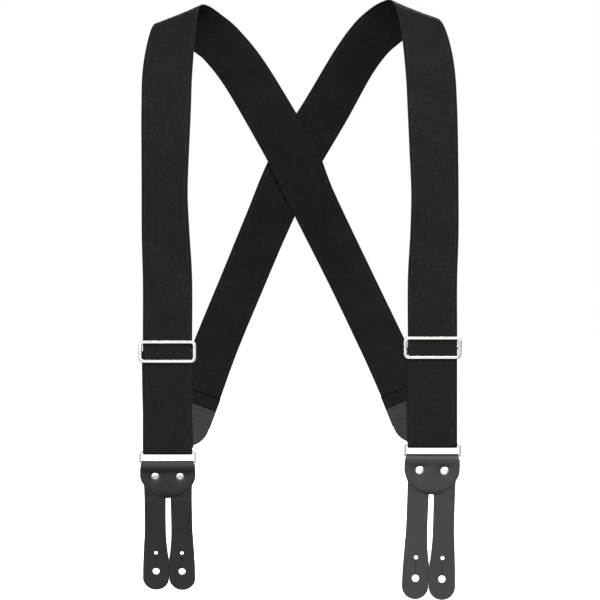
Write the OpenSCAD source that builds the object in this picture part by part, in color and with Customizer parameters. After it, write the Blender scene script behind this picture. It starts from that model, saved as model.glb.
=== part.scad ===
// X-back suspenders with button-on leather ends, in the shape they take over a wearer's shoulders.
// The front is at -Y, up is +Z, and left means the -X side, the left as seen from the front.
// The origin lies midway between the two tops of the shoulders.

/* [Webbing] */
// Width of the elastic webbing
web_w = 50.8; // [50.2:0.1:50.8]
// Thickness of the elastic webbing
web_t = 1.6; // [1.4:0.1:1.6]

/* [Hang] */
// Distance of each front strap from the middle
front_x = 136; // [130:1:145]
// Depth of the flat lower stretch of the front straps
front_y = -80; // [-84:1:-76]
// Height of the left ring's top bar
left_bar_z = -462; // [-470:1:-456]
// Height of the right ring's top bar
right_bar_z = -455; // [-462:1:-450]
// Height of the left slide's centre
left_slide_z = -359; // [-370:1:-350]
// Height of the right slide's centre
right_slide_z = -355; // [-366:1:-346]
// Angle by which the left leather end leans back
left_swing = 21; // [0:1:30]
// Sideways slant of the left leather end
left_slant = 0.6; // [0:0.1:2]
// Sideways slant of the right leather end
right_slant = 1.7; // [0:0.1:2]

/* [Slide adjuster] */
// Length of the slide across the strap
slide_l = 59.6; // [59:0.2:64]
// Height of the slide
slide_h = 23.6; // [22:0.2:28]
// Width of the slide's bars and end posts
slide_bar_w = 3.8; // [3:0.1:3.8]
// Depth of the slide's front frame
slide_d = 2.6; // [2:0.1:3]
// Radius of the centre bar
centre_bar_r = 1.6; // [1.2:0.1:1.6]

/* [Ring] */
// Length of the wire ring across the strap
ring_l = 59; // [58.6:0.2:62]
// Distance between the middles of the ring's two long bars
ring_pitch = 12; // [11.6:0.2:16]
// Radius of the ring's wire
wire_r = 1.2; // [1:0.1:1.2]

/* [Leather ends] */
// Thickness of the leather
leather_t = 1.8; // [1.4:0.1:2]
// Full width of the shield
shield_w = 57; // [56:0.5:60]
// Length of the shield below the ring's lower bar
shield_l = 39; // [36:1:42]
// Length of the two buttonhole arms below the ring's lower bar
arm_l = 147; // [144:1:150]
// Radius of the large end of a buttonhole
button_r = 3.6; // [3:0.1:4.5]
// Radius of the small end of a buttonhole
relief_r = 1.9; // [1.2:0.1:2.2]
// Radius of a rivet's cap
rivet_cap_r = 4.4; // [3.5:0.1:4.6]

/* [Back ends] */
// Length of the folded hem that shows above the back leather
hem_show = 15.5; // [10:0.5:20]
// Width of the back leather
tab_w = 51; // [48:0.5:58]
// Length of the back leather's straight part
tab_straight = 23; // [20:1:30]

/* [Hidden] */
$fn = 48;

left = -1;
right = 1;
gap = 0.3;             // clearance between pieces that move on each other
hair = 0.02;           // gap between pieces that only lie on each other
split_z = -405;        // height where the moving end of a front strap begins
web_black = "#232323";
face_black = "#2c2c2c";
leather_black = "#3a3a3a";
thread_black = "#161616";
nickel = "#d9d6d0";

function bar_z(side) = side == left ? left_bar_z : right_bar_z;
function slide_z(side) = side == left ? left_slide_z : right_slide_z;
function swing(side) = side == left ? left_swing : 0;
function slant(side) = side == left ? left_slant : right_slant;

fold_r = wire_r + gap;                      // inside radius of a fold round the ring's wire
fold_y = front_y + web_t / 2 + fold_r;      // depth of the ring's top bar
loop_r = centre_bar_r + 0.1;                // inside radius of the loop sewn round the centre bar
loop_y = front_y + web_t / 2 + gap + loop_r + web_t;  // depth of the slide's centre bar
return_y = fold_y + fold_r + web_t / 2;     // depth of the return layer
return_shift = 1.2;                         // how far the return layer lies towards the middle
loop_leg = 20;                              // length of the sewn loop below the centre bar

// Stations of the left strap from its front to its end at the lower right of the back:
// middle of the webbing, direction that its outer face looks in, and width as a share of web_w
left_run = [
  [[-front_x, front_y, split_z], [0, -1, 0], 1],
  [[-front_x, front_y, -345], [0, -1, 0], 1],
  [[-front_x, front_y, -286], [0, -1, 0], 1],
  [[-138, -80, -238], [-0.16, -1, 0], 0.99],
  [[-139, -80, -196], [-0.26, -1, 0], 0.98],
  [[-138.5, -77, -150], [-0.15, -1, 0.05], 0.99],
  [[-138, -70, -108], [0, -1, 0.2], 1.01],
  [[-137.5, -60, -72], [0, -0.9, 0.3], 1.02],
  [[-134.5, -45, -36], [-0.2, -0.85, 0.45], 1.01],
  [[-131.5, -25, -12], [-0.32, -0.5, 0.8], 1],
  [[-127, 0, -2.5], [-0.375, 0, 0.927], 1],
  [[-117, 25, -5], [-0.36, 0.5, 0.8], 1],
  [[-101, 44, -16], [-0.2, 0.8, 0.45], 1],
  [[-84.5, 56, -29], [-0.1, 0.95, 0.3], 0.99],
  [[-59.5, 70, -60], [0, 1, 0.22], 1.02],
  [[-22, 86, -122], [0, 1, 0.18], 1.06],
  [[-5.2, 91.4, -152], [0, 1, 0.16], 1.09],
  [[14.7, 98, -197], [0, 1, 0.13], 1.01],
  [[57, 107, -283], [0, 1, 0.09], 0.97],
  [[93.5, 111.5, -359], [0, 1, 0.03], 0.98],
  [[114, 112, -404], [0, 1, 0], 1]
];

// Stations of the right strap, which ends at the lower left of the back, behind the left strap
right_run = [
  [[front_x, front_y, split_z], [0, -1, 0], 1],
  [[front_x, front_y, -345], [0, -1, 0], 1],
  [[front_x, front_y, -286], [0, -1, 0], 1],
  [[138, -80, -238], [0.1, -1, 0], 0.99],
  [[138.5, -80, -196], [0.2, -1, 0], 0.99],
  [[137.5, -77, -150], [0.1, -1, 0.05], 1],
  [[136.5, -70, -108], [0, -1, 0.2], 1.01],
  [[135, -60, -70], [0, -0.9, 0.3], 1.01],
  [[131, -45, -34], [0.2, -0.85, 0.45], 1],
  [[125.5, -25, -8], [0.32, -0.5, 0.8], 1],
  [[118, 0, 3], [0.36, 0, 0.93], 1],
  [[106.5, 25, -0.5], [0.34, 0.5, 0.8], 1],
  [[92, 43, -9], [0.2, 0.8, 0.45], 0.98],
  [[77, 55, -21.5], [0.1, 0.95, 0.3], 0.97],
  [[57.6, 71, -47], [0, 1, 0.23], 0.97],
  [[29, 83.1, -96], [0, 1, 0.2], 1.01],
  [[-8.5, 94.7, -158], [0, 1, 0.15], 1.05],
  [[-36.5, 103, -220], [0, 1, 0.12], 0.99],
  [[-64, 111, -285], [0, 1, 0.08], 0.97],
  [[-91.5, 113.5, -351], [0, 1, 0.02], 0.97],
  [[-112.9, 114, -407.6], [0, 1, 0], 1]
];
steps = 4;             // rings drawn for each station of a strap

function end_point(side) = side == left ? right_run[len(right_run) - 1][0] : left_run[len(left_run) - 1][0];
function end_angle(side) = side == left ? -20.5 : 22;
hem_l = hem_show + 20; // whole length of the folded hem

// Smooth value between b and c at share t, with a before b and d after c
function glide(a, b, c, d, t) =
  0.5 * (2 * b + (c - a) * t + (2 * a - 5 * b + 4 * c - d) * t * t + (3 * b - a - 3 * c + d) * t * t * t);
function unit(v) = v / norm(v);
function along(run, column) = [
  for (i = [0 : len(run) - 2])
    for (k = [0 : steps - 1])
      glide(
        run[max(i - 1, 0)][column], run[i][column], run[i + 1][column],
        run[min(i + 2, len(run) - 1)][column], k / steps
      ),
  run[len(run) - 1][column]
];

// The four corners of the webbing at one ring of a strap
function corners(middle, forward, face, wide) =
  let (across = unit(cross(face, forward)), out = unit(cross(forward, across)))
  [for (c = [[-1, -1], [1, -1], [1, 1], [-1, 1]])
    middle + across * c[0] * wide * web_w / 2 + out * c[1] * web_t / 2];

// Flat webbing swept along a run, with its own end_length added straight on at the far end
module ribbon(run, end_length) {
  path = along(run, 0);
  faces_out = along(run, 1);
  widths = along(run, 2);
  n = len(path);
  last = path[n - 1];
  ahead = unit(last - run[len(run) - 2][0]);
  ends = concat(path, [last + [ahead[0], 0, ahead[2]] * end_length]);
  rings = [
    for (i = [0 : n])
      corners(
        ends[i],
        i == 0 ? [0, 0, 1] : i >= n - 1 ? [ahead[0], 0, ahead[2]] : ends[i + 1] - ends[i - 1],
        faces_out[min(i, n - 1)],
        widths[min(i, n - 1)]
      )
  ];
  points = [for (ring = rings) for (p = ring) p];
  sides = [
    for (i = [0 : n - 1])
      for (k = [0 : 3])
        let (a = 4 * i + k, b = 4 * i + (k + 1) % 4)
        for (t = k == 2 ? [[a, b, a + 4], [b, b + 4, a + 4]] : [[a, b, b + 4], [a, b + 4, a + 4]]) t
  ];
  caps = [[2, 1, 0], [3, 2, 0], [4 * n, 4 * n + 1, 4 * n + 2], [4 * n, 4 * n + 2, 4 * n + 3]];
  polyhedron(points = points, faces = concat(sides, caps), convexity = 6);
}

// Places its child at the end of a back strap: X across, -Z onwards, -Y towards the wearer
module at_back(side) {
  translate(end_point(side))
    rotate([0, -end_angle(side), 0])
      children();
}

// Places its child at the ring's lower bar, leaning as that leather end does
module at_leather(side) {
  translate([side * front_x, fold_y, bar_z(side) - ring_pitch])
    rotate([swing(side), 0, 0])
      children();
}

// Slants its child sideways about the ring's lower bar
module slanted(side) {
  rotate([0, slant(side), 0]) children();
}

// An outline in X and downwards, cut out of material that reaches from y0 to y1
module plate(y0, y1) {
  translate([0, y1, 0])
    rotate([90, 0, 0])
      linear_extrude(y1 - y0)
        mirror([0, 1])
          children();
}

// A profile in Y and downwards, drawn out to the given width along X
module strip(wide) {
  translate([-wide / 2, 0, 0])
    rotate([90, 0, 90])
      linear_extrude(wide)
        mirror([0, 1])
          children();
}

// ---- webbing ----

module strap_left() {
  color(face_black) ribbon(left_run, hem_l);
}

module strap_right() {
  color(web_black) ribbon(right_run, hem_l);
}

// Lower end of the outer layer, which shortens when the strap is shortened
module front_layer(side) {
  low = bar_z(side) + 3;
  color(face_black)
    translate([side * front_x - web_w / 2, front_y - web_t / 2, low])
      cube([web_w, web_t, split_z - hair - low]);
}

// The webbing where it turns round the ring's upper bar
module ring_fold(side) {
  color(face_black)
    translate([side * front_x, fold_y, bar_z(side)])
      strip(web_w)
        difference() {
          union() {
            circle(r = fold_r + web_t);
            translate([-fold_r - web_t, -3 + hair]) square([2 * (fold_r + web_t), 3]);
          }
          circle(r = fold_r);
          translate([-fold_r, -4]) square([2 * fold_r, 4]);
        }
}

// The webbing behind the outer layer, on its way back up to the slide
module return_layer(side) {
  low = bar_z(side) + 3;
  high = slide_z(side) - loop_leg - hair;
  color(web_black)
    translate([side * (front_x - return_shift) - web_w / 2, return_y - web_t / 2, low])
      cube([web_w, web_t, high - low]);
}

// The sewn end of the webbing round the slide's centre bar
module bar_loop(side) {
  outer = loop_r + web_t;
  back = return_y + web_t / 2 - loop_y;
  color(web_black)
    translate([side * (front_x - return_shift), loop_y, slide_z(side)])
      strip(web_w)
        difference() {
          union() {
            circle(r = outer);
            polygon([[-outer, 0], [outer, 0], [back, 6], [back - 2 * web_t, 6]]);
            translate([back - 2 * web_t, 5]) square([2 * web_t, loop_leg - 5]);
          }
          circle(r = loop_r);
          polygon([[-loop_r, 0], [loop_r, 0], [back - web_t, 5]]);
        }
}

// ---- thread ----

// One row of stitches across the strap, centred on X at the height given
module stitch_row(count, pitch, y, z) {
  for (i = [0 : count - 1])
    translate([(i - (count - 1) / 2) * pitch, y, z])
      rotate([0, 90, 0])
        cylinder(r = 0.3, h = pitch * 0.65, center = true, $fn = 16);
}

module loop_stitch(side) {
  back = return_y + web_t / 2 + 0.32;
  color(thread_black)
    translate([side * (front_x - return_shift), back, slide_z(side)])
      for (down = [9, 15])
        stitch_row(15, 3.1, 0, -down);
}

// Square of stitches that holds the two straps together where they cross
module cross_stitch() {
  color(thread_black)
    translate([-4.5, 91.6, -157.5])
      rotate([9.5, 0, 0])
        for (turn = [0 : 90 : 270])
          rotate([0, turn + 45, 0])
            stitch_row(7, 3.1, -1.15, -11.4);
}

module back_stitch(side) {
  y = -web_t / 2 - 0.2 - web_t - hair - leather_t - 0.32;
  color(thread_black)
    at_back(side)
      for (down = [3, 16])
        stitch_row(14, 3.1, y, -hem_show - down);
}

// ---- back ends ----

// The webbing's end, folded forwards and up against the strap
module back_hem(side) {
  y1 = -web_t / 2 - 0.2;
  color(web_black)
    at_back(side)
      translate([-web_w / 2, y1 - web_t, -hem_l])
        cube([web_w, web_t, hem_l]);
}

module tab_outline() {
  translate([0, hem_show + tab_straight]) circle(r = tab_w / 2);
  translate([-tab_w / 2, hem_show]) square([tab_w, tab_straight]);
}

tab_button = hem_show + tab_straight + 13.5;   // how far down the back leather's buttonhole lies
back_slit_l = 12;                              // length of that buttonhole between the middles of its ends
slit_w = 0.5;                                  // width of a buttonhole's slit

module back_leather(side) {
  y1 = -web_t / 2 - 0.2 - web_t - hair;
  color(leather_black)
    at_back(side)
      difference() {
        plate(y1 - leather_t, y1) tab_outline();
        for (end = [[tab_button, button_r], [tab_button - back_slit_l, relief_r]])
          translate([0, y1 + 1, -end[0]]) rotate([90, 0, 0]) cylinder(r = end[1], h = 6);
        translate([-slit_w / 2, y1 - 5, -tab_button]) cube([slit_w, 8, back_slit_l]);
      }
}

// ---- slide adjuster ----

module round_rect(l, h, r) {
  for (x = [-1, 1])
    for (z = [-1, 1])
      translate([x * (l / 2 - r), z * (h / 2 - r)]) circle(r = r);
  square([l, h - 2 * r], center = true);
  square([l - 2 * r, h], center = true);
}

lug_l = slide_l - 0.4;   // length over the two lugs
lug_t = 2.4;             // thickness of a lug

// The front frame, with a lug at each end that reaches back to hold the centre bar
module slide_frame(side) {
  front = front_y - web_t / 2 - gap;
  reach = loop_y + centre_bar_r + 1 - front;
  color(nickel)
    translate([side * front_x, front, slide_z(side)])
      difference() {
        union() {
          rotate([90, 0, 0])
            linear_extrude(slide_d)
              difference() {
                round_rect(slide_l, slide_h, 4);
                round_rect(slide_l - 2 * slide_bar_w, slide_h - 2 * slide_bar_w, 1.4);
              }
          for (end = [-1, 1])
            translate([end * (lug_l - lug_t) / 2 - lug_t / 2, -slide_d / 2, -3])
              cube([lug_t, reach + slide_d / 2, 6]);
        }
        translate([-slide_l, loop_y - front, 0])
          rotate([0, 90, 0])
            cylinder(r = centre_bar_r + hair, h = 2 * slide_l);
      }
}

module slide_bar(side) {
  color(nickel)
    translate([side * front_x - lug_l / 2, loop_y, slide_z(side)])
      rotate([0, 90, 0])
        cylinder(r = centre_bar_r, h = lug_l);
}

// ---- ring ----

bend_r = 2.2;            // bend radius of the ring's wire, at the wire's middle

module ring(side) {
  half = ring_l / 2 - wire_r;
  color(nickel)
    translate([side * front_x, fold_y, bar_z(side) - ring_pitch / 2])
      rotate([90, 0, 0])
        for (turn = [0, 180])
          rotate([0, 0, turn]) {
            translate([half - bend_r, ring_pitch / 2, 0]) rotate([0, -90, 0])
              cylinder(r = wire_r, h = 2 * (half - bend_r));
            translate([half, -ring_pitch / 2 + bend_r, 0]) rotate([-90, 0, 0])
              cylinder(r = wire_r, h = ring_pitch - 2 * bend_r);
            for (corner = [[1, 0], [-1, 90]])
              translate([corner[0] * (half - bend_r), ring_pitch / 2 - bend_r, 0])
                rotate([0, 0, corner[1]])
                  rotate_extrude(angle = 90)
                    translate([bend_r, 0]) circle(r = wire_r);
          }
}

// ---- leather ends ----

neck = ring_l / 2 - 2 * wire_r - 0.3;    // half width of the leather inside the ring
hole_x = 13.6;                           // distance of a buttonhole from the middle
bulb_x = 13.8;                           // distance of the middle of an arm's round end
bulb_r = 13.6;                           // radius of an arm's round end
rivet_x = 12.8;                          // distance of a rivet from the middle
rivet_down = 14.2;                       // distance of the rivets below the ring's lower bar
button_down = arm_l - 21.5;              // distance of the large buttonhole ends below that bar
slit_l = 21.4;                           // length of a buttonhole between the middles of its ends

shield_edge = [
  [0, -4], [neck, -4], [neck, 2], [shield_w / 2 - 0.9, 2.2], [shield_w / 2 - 0.2, 5],
  [shield_w / 2, 15], [shield_w / 2 - 1, 19.5], [25, 24], [20.6, 28], [15.9, 32],
  [9.4, 36.6], [4.5, shield_l - 0.5], [0, shield_l]
];

arm_edge = [
  [0, -4], [neck, -4], [neck, 2], [shield_w / 2 - 0.9, 2.2], [shield_w / 2 - 0.2, 5],
  [shield_w / 2, 15], [shield_w / 2 - 1, 19.5], [25.4, 23.4], [24.8, 26], [24.9, arm_l - 72],
  [25.7, arm_l - 57], [26.7, arm_l - 41], [27.4, arm_l - 27], [27.4, arm_l - bulb_r],
  [0.2, arm_l - bulb_r], [0.2, arm_l - 35], [0.9, arm_l - 41], [1.9, arm_l - 52],
  [2.7, arm_l - 69], [2.7, arm_l - 87], [2.4, arm_l - 103], [2.2, shield_l - 3], [0, shield_l - 3]
];

module both_halves() {
  children();
  mirror([1, 0]) children();
}

// Side profile of the leather where it wraps the ring's bar and closes below it
module wrap_profile(front, back) {
  outer = fold_r + leather_t;
  difference() {
    union() {
      circle(r = outer);
      polygon([[-outer, 0], [outer, 0], [leather_t, 9], [-leather_t, 9]]);
      translate([-leather_t, 8]) square([leather_t, front - 8]);
      translate([0, 8]) square([leather_t, back - 8]);
    }
    circle(r = fold_r);
    polygon([[-fold_r, 0], [fold_r, 0], [0, 7]]);
  }
}

// One piece of leather: a shield in front, a fold over the ring and two buttonhole arms behind
module button_leather(side) {
  color(leather_black)
    at_leather(side)
      difference() {
        union() {
          intersection() {
            strip(80) wrap_profile(shield_l + 2, 10);
            slanted(side) plate(-6, 6) both_halves() polygon(shield_edge);
          }
          intersection() {
            strip(80) wrap_profile(10, arm_l + 2);
            slanted(side) plate(-6, 6) both_halves() {
              polygon(arm_edge);
              translate([bulb_x, arm_l - bulb_r]) circle(r = bulb_r);
            }
          }
        }
        slanted(side) {
          for (x = [-hole_x, hole_x]) {
            translate([x, 6, -button_down]) rotate([90, 0, 0]) cylinder(r = button_r, h = 12);
            translate([x, 6, -button_down + slit_l]) rotate([90, 0, 0]) cylinder(r = relief_r, h = 12);
            translate([x - slit_w / 2, -6, -button_down]) cube([slit_w, 12, slit_l]);
          }
          for (x = [-rivet_x, rivet_x])
            translate([x, 6, -rivet_down]) rotate([90, 0, 0]) cylinder(r = 1.55, h = 12);
        }
      }
}

// The shanks of the two rivets, with their flat heads at the back
module rivet_posts(side) {
  color(nickel)
    at_leather(side)
      slanted(side)
        for (x = [-rivet_x, rivet_x])
          translate([x, 0, -rivet_down])
            rotate([90, 0, 0]) {
              translate([0, 0, -leather_t]) cylinder(r = 1.5, h = 2 * leather_t);
              translate([0, 0, -leather_t - hair - 0.7]) cylinder(r = 3.6, h = 0.7);
              translate([0, 0, -leather_t - hair - 0.1]) cylinder(r = 1.5, h = 1);
            }
}

// The domed caps that show on the shield
module rivet_caps(side) {
  dome_r = 9;
  rise = dome_r - sqrt(dome_r * dome_r - rivet_cap_r * rivet_cap_r);
  color(nickel)
    at_leather(side)
      slanted(side)
        for (x = [-rivet_x, rivet_x])
          translate([x, -leather_t - hair, -rivet_down])
            rotate([90, 0, 0])
              intersection() {
                cylinder(r = rivet_cap_r, h = 4);
                translate([0, 0, rise + 0.5 - dome_r]) sphere(r = dome_r);
              }
}

strap_left();
strap_right();
cross_stitch();
front_layer(left);  // front_layer_left
ring_fold(left);  // ring_fold_left
return_layer(left);  // return_layer_left
bar_loop(left);  // bar_loop_left
loop_stitch(left);  // loop_stitch_left
slide_frame(left);  // slide_frame_left
slide_bar(left);  // slide_bar_left
ring(left);  // ring_left
button_leather(left);  // button_leather_left
rivet_posts(left);  // rivet_posts_left
rivet_caps(left);  // rivet_caps_left
front_layer(right);  // front_layer_right
ring_fold(right);  // ring_fold_right
return_layer(right);  // return_layer_right
bar_loop(right);  // bar_loop_right
loop_stitch(right);  // loop_stitch_right
slide_frame(right);  // slide_frame_right
slide_bar(right);  // slide_bar_right
ring(right);  // ring_right
button_leather(right);  // button_leather_right
rivet_posts(right);  // rivet_posts_right
rivet_caps(right);  // rivet_caps_right
back_hem(left);  // back_hem_left
back_leather(left);  // back_leather_left
back_stitch(left);  // back_stitch_left
back_hem(right);  // back_hem_right
back_leather(right);  // back_leather_right
back_stitch(right);  // back_stitch_right
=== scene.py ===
"""X-back suspenders: the looks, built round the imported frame. Metres, +Z up, the front at -Y."""
import math
import random

import bmesh
import bpy
import numpy as np
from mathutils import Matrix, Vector, geometry


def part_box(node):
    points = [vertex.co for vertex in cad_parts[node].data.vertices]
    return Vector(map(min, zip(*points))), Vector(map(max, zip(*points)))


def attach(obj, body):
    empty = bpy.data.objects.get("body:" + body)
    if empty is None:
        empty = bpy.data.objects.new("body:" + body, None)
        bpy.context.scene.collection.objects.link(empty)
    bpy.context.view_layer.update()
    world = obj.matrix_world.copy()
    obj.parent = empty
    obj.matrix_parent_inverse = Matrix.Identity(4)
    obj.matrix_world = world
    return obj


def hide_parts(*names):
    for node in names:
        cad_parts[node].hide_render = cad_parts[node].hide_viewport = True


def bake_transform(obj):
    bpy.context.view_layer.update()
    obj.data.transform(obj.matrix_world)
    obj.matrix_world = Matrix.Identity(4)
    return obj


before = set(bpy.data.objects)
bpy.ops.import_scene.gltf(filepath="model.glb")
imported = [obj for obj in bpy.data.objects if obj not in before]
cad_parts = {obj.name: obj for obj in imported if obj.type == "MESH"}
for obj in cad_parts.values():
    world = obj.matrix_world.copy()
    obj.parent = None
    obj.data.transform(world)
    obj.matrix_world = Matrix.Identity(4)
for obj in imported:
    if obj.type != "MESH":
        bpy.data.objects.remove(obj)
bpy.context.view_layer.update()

MM = 0.001
SIDES = {"left": -1, "right": 1}

# ---- sizes, in millimetres, as in the CAD ----
PLAY = 0.3                        # room between metal and what it moves against
TOUCH = 0.02                      # room between two faces that lie on each other
WEB_W, WEB_T = 50.8, 1.6
WIRE_R, RING_L, RING_PITCH, BEND_R = 1.2, 59.0, 12.0, 2.2
FOLD_R = WIRE_R + PLAY
FOLD_TOP = 3                      # how far above the ring's bar the webbing's fold ends
SLIDE_L, SLIDE_H, SLIDE_BAR, SLIDE_D, SLIDE_CORNER = 59.6, 23.6, 3.8, 2.6, 3.8
LUG_R, LUG_T, LUG_INSET, LUG_CHAMFER = 3, 2.4, 0.4, 0.25
CENTRE_BAR_R = 1.6
LEATHER_T = 1.8
SHIELD_W, SHIELD_L, ARM_L = 57.0, 39.0, 147.0
HOLE_X, BULB_X, BULB_R = 13.6, 13.8, 13.76
BUTTON_R, RELIEF_R, SLIT_L, BUTTON_UP = 3.6, 1.9, 21.4, 21.5
RIVET_X, RIVET_DOWN, RIVET_CAP_R = 12.8, 14.2, 4.4
HEM_SHOW, HEM_L, HEM_GAP = 15.5, 35.5, 0.2
HEM_FREE, HEM_LIFT = 25, 0.5      # where the hem's turned end comes free, and how far it stands off
HEM_WIDE, SHADE_AT_END = 1.025, 1.5     # width of the turned end as a share, and length of the painted shade at the webbing's cut end
TAB_W, TAB_STRAIGHT = 51.0, 23.0
SWING = {"left": math.radians(21), "right": 0.0}
SLANT = {"left": math.radians(0.6), "right": math.radians(1.7)}
RETURN_AT = {"left": (-1.2, 1.2), "right": (-1.2, -0.6)}   # sideways place of the return, above and below
PLY_GAP = 2.3                     # from the middle of one strap to the middle of the other at the crossing
FORWARDS, BACKWARDS = np.array((0, -1.0, 0)), np.array((0, 1.0, 0))


def middle(node):
    """Centre of a CAD node's box, in millimetres."""
    low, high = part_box(node)
    return [(low[i] + high[i]) / 2 / MM for i in range(3)]


FRONT_Y = middle("front_layer_right")[1]
FRONT_X = middle("ring_right")[0]
FOLD_Y = middle("ring_right")[1]
RETURN_Y = middle("return_layer_right")[1]
LOOP_Y = middle("slide_bar_right")[1]
BAR_Z = {s: middle(f"ring_{s}")[2] + RING_PITCH / 2 for s in SIDES}
SLIDE_Z = {s: middle(f"slide_bar_{s}")[2] for s in SIDES}

# ---- routes of the two straps, as in the CAD: middle, outer face, width as a share ----
RUNS = {
    "left": [
        ((-FRONT_X, FRONT_Y, -405), (0, -1, 0), 1),
        ((-FRONT_X, FRONT_Y, -345), (0, -1, 0), 1),
        ((-FRONT_X, FRONT_Y, -286), (0, -1, 0), 1),
        ((-138, -80, -238), (-0.16, -1, 0), 0.99),
        ((-139, -80, -196), (-0.26, -1, 0), 0.98),
        ((-138.5, -77, -150), (-0.15, -1, 0.05), 0.99),
        ((-138, -70, -108), (0, -1, 0.2), 1.01),
        ((-137.5, -60, -72), (0, -0.9, 0.3), 1.02),
        ((-134.5, -45, -36), (-0.2, -0.85, 0.45), 1.01),
        ((-131.5, -25, -12), (-0.32, -0.5, 0.8), 1),
        ((-127, 0, -2.5), (-0.375, 0, 0.927), 1),
        ((-117, 25, -5), (-0.36, 0.5, 0.8), 1),
        ((-101, 44, -16), (-0.2, 0.8, 0.45), 1),
        ((-84.5, 56, -29), (-0.1, 0.95, 0.3), 0.99),
        ((-59.5, 70, -60), (0, 1, 0.22), 1.02),
        ((-22, 86, -122), (0, 1, 0.18), 1.06),
        ((-5.2, 91.4, -152), (0, 1, 0.16), 1.09),
        ((14.7, 98, -197), (0, 1, 0.13), 1.01),
        ((57, 107, -283), (0, 1, 0.09), 0.97),
        ((93.5, 111.5, -359), (0, 1, 0.03), 0.98),
        ((114, 112, -404), (0, 1, 0), 1),
    ],
    "right": [
        ((FRONT_X, FRONT_Y, -405), (0, -1, 0), 1),
        ((FRONT_X, FRONT_Y, -345), (0, -1, 0), 1),
        ((FRONT_X, FRONT_Y, -286), (0, -1, 0), 1),
        ((138, -80, -238), (0.1, -1, 0), 0.99),
        ((138.5, -80, -196), (0.2, -1, 0), 0.99),
        ((137.5, -77, -150), (0.1, -1, 0.05), 1),
        ((136.5, -70, -108), (0, -1, 0.2), 1.01),
        ((135, -60, -70), (0, -0.9, 0.3), 1.01),
        ((131, -45, -34), (0.2, -0.85, 0.45), 1),
        ((125.5, -25, -8), (0.32, -0.5, 0.8), 1),
        ((118, 0, 3), (0.36, 0, 0.93), 1),
        ((106.5, 25, -0.5), (0.34, 0.5, 0.8), 1),
        ((92, 43, -9), (0.2, 0.8, 0.45), 0.98),
        ((77, 55, -21.5), (0.1, 0.95, 0.3), 0.97),
        ((57.6, 71, -47), (0, 1, 0.23), 0.97),
        ((29, 83.1, -96), (0, 1, 0.2), 1.01),
        ((-8.5, 94.7, -158), (0, 1, 0.15), 1.05),
        ((-36.5, 103, -220), (0, 1, 0.12), 0.99),
        ((-64, 111, -285), (0, 1, 0.08), 0.97),
        ((-91.5, 113.5, -351), (0, 1, 0.02), 0.97),
        ((-112.9, 114, -407.6), (0, 1, 0), 1),
    ],
}
END_ANGLE = {"left": math.radians(22), "right": math.radians(-20.5)}
CROSSING = (15, 17)               # stations of the right strap before and after it passes under the left
STRETCH_TOP = -335.0              # height at which the part that changes length starts


# ---- materials ----

class Nodes:
    """A short way to write a tree of shader nodes."""

    def __init__(self, tree):
        self.tree = tree

    def add(self, kind, **settings):
        node = self.tree.nodes.new(kind)
        for key, value in settings.items():
            setattr(node, key, value)
        return node

    def join(self, source, target):
        self.tree.links.new(source, target)

    def sums(self, operation, a, b=None):
        node = self.add("ShaderNodeMath", operation=operation)
        for socket, value in zip(node.inputs, (a, b)):
            if value is None:
                continue
            if isinstance(value, (int, float)):
                socket.default_value = value
            else:
                self.join(value, socket)
        return node.outputs[0]

    def noise(self, scale, detail=3.0, roughness=0.5, coordinates=None):
        node = self.add("ShaderNodeTexNoise")
        node.inputs["Scale"].default_value = scale
        node.inputs["Detail"].default_value = detail
        node.inputs["Roughness"].default_value = roughness
        if coordinates is not None:
            self.join(coordinates, node.inputs["Vector"])
        return node.outputs["Fac"]

    def ramp(self, value, stops):
        node = self.add("ShaderNodeValToRGB")
        elements = node.color_ramp.elements
        while len(elements) < len(stops):
            elements.new(0.5)
        for element, (place, colour) in zip(elements, stops):
            element.position = place
            element.color = (*colour, 1)
        self.join(value, node.inputs["Fac"])
        return node.outputs["Color"]


class Material(Nodes):
    """A new material, with its shader's own sockets set by name."""

    def __init__(self, name):
        self.material = bpy.data.materials.new(name)
        self.material.use_nodes = True
        super().__init__(self.material.node_tree)
        self.shader = self.tree.nodes["Principled BSDF"]

    def bump(self, height, distance, strength=1.0):
        node = self.add("ShaderNodeBump")
        node.inputs["Distance"].default_value = distance
        node.inputs["Strength"].default_value = strength
        self.join(height, node.inputs["Height"])
        self.join(node.outputs["Normal"], self.shader.inputs["Normal"])

    def set(self, **values):
        for key, value in values.items():
            self.shader.inputs[key.replace("_", " ")].default_value = value


def grey(level, warm=0.0):
    return (level * (1 + warm), level, level * (1 - warm))


RIB, PICK = 0.00115, 0.0013          # spacing of the webbing's ribs and of its crossing threads
SELVEDGE_AT, SELVEDGE_W = 0.0194, 0.006   # where the selvedge starts, from the middle, and its width
SELVEDGE_TONES = [
    (0.0, 0.5), (0.3, 0.5), (0.36, 0.72), (0.46, 0.68), (0.54, 0.42), (0.84, 0.46), (0.9, 0.8), (1.0, 0.7),
]


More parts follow.
